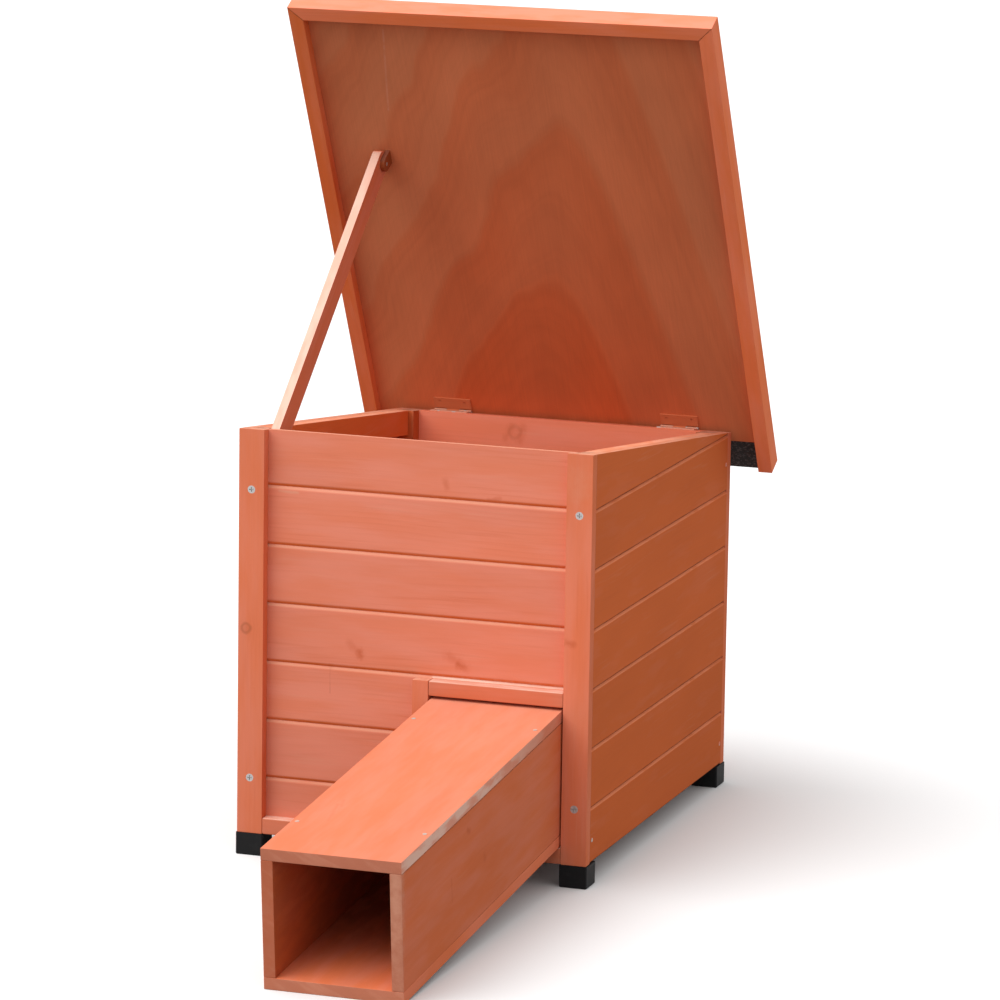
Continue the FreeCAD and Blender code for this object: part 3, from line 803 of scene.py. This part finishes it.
class HOUSE_OT_posts(bpy.types.Operator):
    """Dress the stiles and battens of the corners"""
    bl_idname = "hedgehog.posts"
    bl_label = "Corner posts"

    def execute(self, context):
        stain = settings().stain
        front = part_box("front_left_stile")[0].y
        knots = [(Vector((-0.1784, front, 0.236)), 5 * MM, 0.7)]
        smears = laid([((0.1625, 0.2500), (0.1690, 0.2485), 6.5, 0.60)], y=front)
        rubs_and_highlights = laid([((0.1735, 0.4185), (0.1735, 0.4030), 20, 0.20)], y=front)
        # Painted highlight on the tops that face up, and painted shade: a deeper stain on the side faces,
        # which lie in shade
        faces = [Face(Z_AXIS, stain.raw_and_highlight, 0.4, 0.8)]
        faces += [Face(way, stain.deep, 0.15, 0.4) for way in (X_AXIS, -X_AXIS)]
        material = pine("pine_upright", ALONG_Z, knots, smears, rubs_and_highlights=rubs_and_highlights, faces=faces)
        stiles = ("front_left_stile", "front_right_stile", "back_left_stile", "back_right_stile")
        for seed, node in enumerate(stiles):
            dressed(node, material, seed + 0.31, coat=0.45, shade=1.05, show=0.3)
        for seed, node in enumerate(node for node in sorted(frame["nodes"]) if node.endswith("_batten")):
            dressed(node, material, seed + 6.31, coat=1.0, shade=0.85)
        return {"FINISHED"}


class HOUSE_OT_side_walls(bpy.types.Operator):
    """Dress the boards of the left and right walls and the rails inside their tops"""
    bl_idname = "hedgehog.side_walls"
    bl_label = "Side walls"

    def execute(self, context):
        stain, timber = settings().stain, settings().timber
        # Painted light: the tops are paled where light falls on them, the lips that face up get a painted
        # highlight and the grooves that face down get painted shade
        top = Face(Z_AXIS, stain.raw_and_highlight, 0.5, 0.8)
        for side, way in (("left", -X_AXIS), ("right", X_AXIS)):
            lip_highlight = Face(way + Z_AXIS, stain.worn_and_lit, 0.4, 0.9)
            groove_shade = Face(way - Z_AXIS, stain.knot, 0.5, 0.8)
            material = pine("pine_" + side, ALONG_Y, faces=(lip_highlight, groove_shade, top))
            for seed, node in enumerate(numbered(side + "_board_")):
                dressed(node, material, seed + 20.17 + 7 * way.x, coat=1.05, shade=0.98, show=0.3,
                        arris=timber.board_arris, lips=timber.side_ease)
        dressed("side_top_rails", material, 36.4, coat=1.0, shade=1.18)
        return {"FINISHED"}


class HOUSE_OT_front_wall(bpy.types.Operator):
    """Dress the boards of the front wall and the frame of the doorway"""
    bl_idname = "hedgehog.front_wall"
    bl_label = "Front wall"

    def execute(self, context):
        stain, timber = settings().stain, settings().timber
        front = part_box("front_board_1")[0].y
        smears = laid([
            ((-0.0700, 0.2260), (-0.0590, 0.2160), 8, 0.30),
            ((-0.0610, 0.2180), (-0.0590, 0.2150), 6.5, 0.40),
            ((0.0340, 0.2240), (0.0530, 0.2120), 9, 0.32),
            ((0.0460, 0.2155), (0.0500, 0.2130), 6.5, 0.42),
            ((0.0290, 0.4000), (0.0310, 0.3940), 6, 0.35),
            ((0.0742, 0.3857), (0.0862, 0.3872), 4, 0.40),
            ((-0.0918, 0.2015), (-0.0914, 0.2005), 4, 0.90),
        ], y=front)
        seams = laid([((-0.0918, 0.2010), (-0.0916, 0.1740), 1.2, 0.14)], y=front)
        low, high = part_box("door_header")
        above = high.z + 1.5 * MM
        # Pale rubs that are painted highlights: one along a joint's lip, and one just above the header, which
        # also paints over the shade in that corner
        rubs_and_highlights = laid([
            ((-0.1480, 0.3775), (-0.1280, 0.3770), 2.5, 0.6),
            ((low.x, above), (high.x, above), 4, 0.8),
        ], y=front)
        # Painted highlight on the lips and tops that face up, and painted shade in the grooves that face down
        lip_highlight = Face(Z_AXIS - Y_AXIS, stain.raw_and_highlight, 0.3, 0.6)
        top = Face(Z_AXIS, stain.raw_and_highlight, 0.4, 0.8)
        groove_shade = Face(-Z_AXIS - Y_AXIS, stain.deep, 0.8)
        material = pine("pine_across", ALONG_X, (), smears, seams, rubs_and_highlights, (lip_highlight, top, groove_shade))
        for seed, node in enumerate(numbered("front_board_")):
            dressed(node, material, seed + 40.53, coat=0.15, shade=1.0 + 0.01 * seed,
                    arris=timber.board_arris, lips=timber.joint_ease)
        # Painted highlight along the tops of the doorway's frame and the bottom rail, partly pale rubbed
        # edges
        rubbed_and_lit = (Face(Z_AXIS - Y_AXIS, stain.bare, 0.7), Face(Z_AXIS, stain.bare, 0.5, 0.8))
        trim = pine("pine_trim", ALONG_X, faces=rubbed_and_lit)
        dressed("doorway_strips", trim, 47.2, coat=0.5)
        dressed("front_bottom_rail", trim, 48.9, coat=0.40, arris=timber.trim_arris, tight_back=True)
        dressed("door_header", trim, 49.1, coat=0.45, shade=0.92, arris=timber.trim_arris, tight_back=True)
        dressed("door_jamb", bpy.data.materials["pine_upright"], 12.9, coat=0.5)
        return {"FINISHED"}


class HOUSE_OT_back_wall(bpy.types.Operator):
    """Dress the back boards and the back rails"""
    bl_idname = "hedgehog.back_wall"
    bl_label = "Back wall"

    def execute(self, context):
        timber = settings().timber
        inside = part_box("back_boards")[0].y
        knots = [(Vector((-0.0490, inside, 0.371)), 7 * MM, 0.35)]
        smears = laid([
            ((-0.0600, 0.362), (-0.0535, 0.376), 7, 0.32),
            ((-0.0405, 0.377), (-0.0435, 0.360), 7, 0.32),
        ], y=inside)
        material = pine("pine_back", ALONG_X, knots, smears)
        # The raised shade is painted light: it brightens the inside of the back wall
        dressed("back_boards", material, 60.71, coat=0.22, shade=1.27, arris=timber.board_arris,
                lips=timber.joint_ease)
        dressed("back_bottom_rail", material, 61.4, coat=0.6)
        dressed("back_top_rail", material, 62.8, coat=0.4)
        return {"FINISHED"}


class HOUSE_OT_floor(bpy.types.Operator):
    """Dress the floor panel and its battens"""
    bl_idname = "hedgehog.floor"
    bl_label = "Floor"

    def execute(self, context):
        dressed("floor_panel", plywood("plywood_floor", ALONG_Y), 3.7)
        dressed("floor_battens", bpy.data.materials["pine_right"], 71.3, coat=0.8)
        return {"FINISHED"}


class HOUSE_OT_feet(bpy.types.Operator):
    """Finish the foot caps"""
    bl_idname = "hedgehog.feet"
    bl_label = "Foot caps"

    def execute(self, context):
        coat_node("foot_caps", foot_plastic())
        return {"FINISHED"}


class HOUSE_OT_fasteners(bpy.types.Operator):
    """Finish the screws, nails and pins"""
    bl_idname = "hedgehog.fasteners"
    bl_label = "Fasteners"

    def execute(self, context):
        stain = settings().stain
        material = zinc()
        for node, slot in SLOT_OF.items():
            if slot == "zinc_steel":
                coat_node(node, material)
        coat_node("side_nails", stained_steel("stained_nails", stain.thin, 0.52))
        # Pale stain and bare steel on the tunnel nails, partly a painted glint
        coat_node("tunnel_nails", stained_steel("rubbed_nails", stain.raw_and_highlight, 0.45))
        return {"FINISHED"}


class HOUSE_OT_hinges(bpy.types.Operator):
    """Finish the hinge leaves"""
    bl_idname = "hedgehog.hinges"
    bl_label = "Hinges"

    def execute(self, context):
        stain = settings().stain
        coat_node("hinge_wall_leaves", stained_steel("rubbed_leaves", stain.raw_and_highlight, 0.56))
        brushed = stained_steel("stained_leaves", Vector(stain.veneer).lerp(stain.veneer_red, 0.3), 0.9)
        coat_node("hinge_lid_leaves", brushed)
        coat_node("hinge_lid_screws", brushed)
        return {"FINISHED"}


def level_box(node):
    """Box of a node of the lid as it lies with the lid turned level."""
    level = LID_PLACE.inverted()
    corners = [level @ vertex.co for vertex in frame["nodes"][node].data.vertices]
    return [Vector([end(corner[axis] for corner in corners) for axis in range(3)]) for end in (min, max)]


class HOUSE_OT_lid(bpy.types.Operator):
    """Dress the rails and the panel of the lid"""
    bl_idname = "hedgehog.lid"
    bl_label = "Lid"

    def execute(self, context):
        low, high = level_box("lid_front_rail")
        width = high.y - low.y
        mitres = []
        for outer, inner in ((low.x, low.x + width), (high.x, high.x - width)):
            start = LID_PLACE @ Vector((outer, low.y, low.z))
            end = LID_PLACE @ Vector((inner, high.y, low.z))
            mitres.append((start, end, 0.9 * MM, 0.6))
        side = pine("pine_lid_sides", ALONG_LID, seams=mitres)
        # The raised shades are painted light on the rails' undersides, which face down into shade, and the
        # paler outside face of the front rail is a painted highlight
        dressed("lid_left_rail", side, 80.3, coat=0.85, shade=1.11)
        dressed("lid_right_rail", side, 81.9, coat=0.70, shade=1.31)
        outside = Face(-ACROSS_LID.col[1], settings().stain.thin, 0.6, 0.9)
        front = pine("pine_lid_front", ACROSS_LID, seams=mitres, faces=(outside,))
        dressed("lid_front_rail", front, 82.4, coat=0.75, shade=1.24)
        way = ALONG_LID @ Matrix.Rotation(math.pi, 3, "Z")
        start = LID_PLACE @ Vector((-0.132, -0.491, 0.003))
        end = LID_PLACE @ Vector((-0.142, -0.391, 0.003))
        streak = [(start, end, 1.6 * MM, 0.25)]
        dressed("lid_panel", plywood("plywood_lid", way, streak), 1.3)
        # The cleat is darkened to a painted shadow beside the stay's top
        dressed("stay_cleat", side, 83.6, coat=1.0, shade=0.5)
        return {"FINISHED"}


class HOUSE_OT_stay(bpy.types.Operator):
    """Dress the stay, whose grain runs from its foot to its pivot and whose upper face is painted pale as a
    highlight
    """
    bl_idname = "hedgehog.stay"
    bl_label = "Stay"

    def execute(self, context):
        low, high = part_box("stay")
        way = Matrix.Rotation(math.atan2(high.z - low.z, high.y - low.y), 3, "X") @ ALONG_Y
        upper = way.col[2] if way.col[2].z > 0 else -way.col[2]
        # Painted highlight on the stay's upper face, which faces the light
        rubbed_and_lit = Face(upper, settings().stain.bare, 0.8)
        dressed("stay", pine("pine_stay", way, faces=(rubbed_and_lit,)), 90.2, coat=0.45, shade=1.06)
        return {"FINISHED"}


def upper_edge(node, way):
    """Near and far end of the upper right edge of a tilted board."""
    spots = [vertex.co.copy() for vertex in frame["nodes"][node].data.vertices]
    corner = X_AXIS + way.col[2]
    return [max(spots, key=lambda spot: spot.dot(corner + end)) for end in (-way.col[0], way.col[0])]


class HOUSE_OT_tunnel(bpy.types.Operator):
    """Dress the boards of the tunnel"""
    bl_idname = "hedgehog.tunnel"
    bl_label = "Tunnel"

    def execute(self, context):
        stain = settings().stain
        onward, upward = ALONG_TUNNEL.col[0], ALONG_TUNNEL.col[2]
        scratches = [
            (Vector((0.0445, -0.3546, 0.1507)), Vector((0.0527, -0.4028, 0.1464)), 3 * MM, 0.18),
            (Vector((0.0459, -0.3421, 0.1518)), Vector((0.0500, -0.3600, 0.1502)), 3 * MM, 0.20),
        ]
        low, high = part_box("tunnel_right_side")
        smears = laid([
            ((-0.3080, 0.1250), (-0.3020, 0.1225), 5, 0.45),
            ((-0.2570, 0.0885), (-0.2550, 0.0850), 7, 0.35),
            ((-0.3520, 0.0880), (-0.3490, 0.0660), 3, 0.25),
        ], x=high.x)
        rubs_and_highlights = laid([((low.y, low.z), (low.y, high.z), 14, 0.75)], x=high.x - 6 * MM)
        seams = [(*upper_edge("tunnel_right_side", ALONG_TUNNEL), 1.4 * MM, 0.55)]
        edge = Face(X_AXIS, stain.bare, 0.4, 1.0, (-0.05, 0.24))
        # Painted light: the top is paled towards the wall, where the house shades it
        painted_light_near_wall = Face(upward, stain.raw_and_highlight, 0.25, 0.35, (0.24, 0.0))
        top = pine("pine_tunnel_top", ALONG_TUNNEL, (), scratches, faces=(edge, painted_light_near_wall))
        dressed("tunnel_top", top, 100.6, coat=0.40, show=0.12)
        deeper = (-0.03, -0.21)
        # Painted shade: the floor darkens deeper inside the tunnel
        painted_floor_shade = Face(upward, stain.knot, 0.8, 1.0, deeper)
        material = pine("pine_tunnel", ALONG_TUNNEL, (), smears, seams, rubs_and_highlights, (painted_floor_shade,))
        dressed("tunnel_bottom", material, 101.6, coat=0.6, shade=1.15, show=0.2)
        # Painted shade on the left side's inner face, darker still deeper inside the tunnel
        inner = Face(X_AXIS, stain.streak, 0.5, 0.7)
        mouth = Face(-onward, stain.streak, 0.3, 0.45)
        dim = Face(X_AXIS, stain.knot, 0.6, 0.8, deeper)
        shaded = pine("pine_tunnel_left", ALONG_TUNNEL, faces=(inner, dim, mouth))
        dressed("tunnel_left_side", shaded, 102.6, coat=0.9, show=0.2)
        dressed("tunnel_right_side", material, 103.6, coat=0.65, show=0.2)
        return {"FINISHED"}


def felt_sheet(low, high):
    """A rippled sheet on a level lid, its top at most at the height of the rails."""
    felt = settings().felt
    size = high - low
    middle = (low + high) / 2
    deselect()
    across, along = FELT_SQUARES
    bpy.ops.mesh.primitive_grid_add(x_subdivisions=across, y_subdivisions=along, size=1.0)
    sheet = bpy.context.object
    sheet.name = "felt_sheet"
    set_mode("EDIT")
    bpy.ops.mesh.select_all(action="SELECT")
    bpy.ops.transform.resize(value=(size.x, size.y, 1.0))
    bpy.ops.transform.translate(value=(middle.x, middle.y, high.z - felt.ripple / 2))
    set_mode("OBJECT")
    waves = bpy.data.textures.new("felt_waves", "CLOUDS")
    waves.noise_scale = felt.wave
    ripple = sheet.modifiers.new("Ripple", "DISPLACE")
    ripple.texture = waves
    ripple.texture_coords = "LOCAL"
    ripple.strength = felt.ripple
    ply = sheet.modifiers.new("Ply", "SOLIDIFY")
    ply.thickness = size.z * FELT_SHARE
    for name in ("Ripple", "Ply"):
        bpy.ops.object.modifier_apply(modifier=name)
    bpy.ops.object.shade_smooth_by_angle(angle=SMOOTH_BELOW)
    return sheet


def felt_nails(low, high):
    """Domed nail heads along three edges of a level felt sheet."""
    felt = settings().felt
    deselect()
    bpy.ops.mesh.primitive_uv_sphere_add(
        segments=NAIL_SEGMENTS, ring_count=NAIL_RINGS, radius=felt.nail_radius)
    nails = bpy.context.object
    nails.name = "felt_nails"
    left, right = low.x + felt.nail_inset, high.x - felt.nail_inset
    front, back = low.y + felt.nail_inset, high.y - felt.nail_inset
    across = max(2, round((right - left) / felt.nail_spacing))
    along = max(2, round((back - front) / felt.nail_spacing))
    places = [(left + (right - left) * step / across, front) for step in range(across + 1)]
    for step in range(1, along + 1):
        y = front + (back - front) * step / along
        places += [(left, y), (right, y)]
    set_mode("EDIT")
    bpy.ops.mesh.select_all(action="SELECT")
    bpy.ops.transform.resize(value=(1, 1, NAIL_DOME))
    bpy.ops.mesh.bisect(plane_co=(0, 0, 0), plane_no=(0, 0, 1), use_fill=True, clear_inner=True)
    bpy.ops.mesh.select_all(action="SELECT")
    bpy.ops.transform.translate(value=(*places[0], high.z - felt.ripple))
    for (x0, y0), (x1, y1) in zip(places, places[1:]):
        bpy.ops.mesh.duplicate()
        bpy.ops.transform.translate(value=(x1 - x0, y1 - y0, 0))
    set_mode("OBJECT")
    bpy.ops.object.shade_smooth_by_angle(angle=NAIL_SMOOTH_BELOW)
    return nails


class HOUSE_OT_felt(bpy.types.Operator):
    """Lay the roofing felt on a level lid, nail it down and turn it onto the propped one"""
    bl_idname = "hedgehog.felt"
    bl_label = "Roofing felt"

    def execute(self, context):
        low, high = level_box("roof_felt")
        sheet = felt_sheet(low, high)
        nails = felt_nails(low, high)
        for piece in (sheet, nails):
            piece.matrix_world = LID_PLACE
            select_only(piece)
            bpy.ops.object.transform_apply()
        finish_piece(sheet, roofing_felt(), "lid")
        finish_piece(nails, bpy.data.materials["zinc"], "lid")
        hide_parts("roof_felt")
        return {"FINISHED"}


def seen_rays(net):
    """1 for the rays that show a surface in the picture or a reflection, 0 for those that only light it."""
    rays = net.node("LightPath").outputs
    seen = net.math("MAXIMUM", rays["Is Camera Ray"], rays["Is Glossy Ray"])
    return net.math("MAXIMUM", seen, rays["Is Transmission Ray"])


def floor_material():
    """Plain floor: white in the picture and in reflections, greyer in the light that it throws back."""
    stage = settings().stage
    net = new_material("floor")
    colour = net.mix(seen_rays(net), stage.floor_bounce, stage.floor_colour)
    return net.surface(colour, 1.0, specular=0.0)


def soft_sky():
    """World that lights evenly from all round and is white in the picture."""
    world = bpy.data.worlds.new("soft_sky")
    world.use_nodes = True
    net = Net(world.node_tree)
    background = world.node_tree.nodes["Background"].inputs
    background["Color"].default_value = (1, 1, 1, 1)
    strength = net.node("Mix", {0: seen_rays(net), 2: settings().stage.sky, 3: 1.0})
    net.feed(background["Strength"], strength.outputs[0])
    return world


class HOUSE_OT_stage(bpy.types.Operator):
    """Set the floor, the lights and the camera"""
    bl_idname = "hedgehog.stage"
    bl_label = "Stage"

    def execute(self, context):
        stage = settings().stage
        scene = context.scene
        deselect()
        bpy.ops.mesh.primitive_plane_add(size=FLOOR_SIZE)
        floor = context.object
        floor.name = "floor"
        floor.data.materials.append(floor_material())
        scene.world = soft_sky()
        way = Vector(stage.key_way).normalized()
        turn = way.to_track_quat("Z", "Y")
        bpy.ops.object.light_add(type="SUN", location=KEY_DISTANCE * way, rotation=turn.to_euler())
        key = context.object
        key.name = "key"
        key.data.energy = stage.key
        key.data.angle = stage.key_spread
        turn = Matrix.Rotation(stage.camera_yaw, 4, "Z")
        turn = turn @ Matrix.Rotation(math.pi / 2 - stage.camera_pitch, 4, "X")
        turn = turn @ Matrix.Rotation(stage.camera_roll, 4, "Z")
        bpy.ops.object.camera_add(location=stage.camera_place, rotation=turn.to_euler())
        camera = context.object
        camera.data.sensor_width = SENSOR_WIDTH
        camera.data.lens = stage.lens
        scene.camera = camera
        scene.view_settings.view_transform = "Standard"
        return {"FINISHED"}


STEPS = (
    HOUSE_OT_finishes, HOUSE_OT_posts, HOUSE_OT_side_walls, HOUSE_OT_front_wall, HOUSE_OT_back_wall,
    HOUSE_OT_floor, HOUSE_OT_feet, HOUSE_OT_fasteners, HOUSE_OT_hinges, HOUSE_OT_lid, HOUSE_OT_stay,
    HOUSE_OT_tunnel, HOUSE_OT_felt, HOUSE_OT_stage,
)


class HOUSE_PT_panel(bpy.types.Panel):
    """Lists the steps of the house"""
    bl_idname = "HOUSE_PT_panel"
    bl_label = "Hedgehog house"
    bl_space_type = "VIEW_3D"
    bl_region_type = "UI"
    bl_category = "Hedgehog house"

    def draw(self, context):
        for step in STEPS:
            self.layout.operator(step.bl_idname)


CLASSES = (
    StainSettings, TimberSettings, FeltSettings, FittingSettings, StageSettings, HouseSettings, *STEPS,
    HOUSE_PT_panel,
)


def register():
    """Register the classes and the scene's settings."""
    for cls in CLASSES:
        bpy.utils.register_class(cls)
    bpy.types.Scene.hedgehog_house = bpy.props.PointerProperty(type=HouseSettings)


def unregister():
    """Remove the scene's settings and the classes."""
    del bpy.types.Scene.hedgehog_house
    for cls in reversed(CLASSES):
        bpy.utils.unregister_class(cls)


def main():
    """Run every step in order."""
    register()
    for step in STEPS:
        group, name = step.bl_idname.split(".")
        getattr(getattr(bpy.ops, group), name)()


if __name__ == "__main__":
    main()
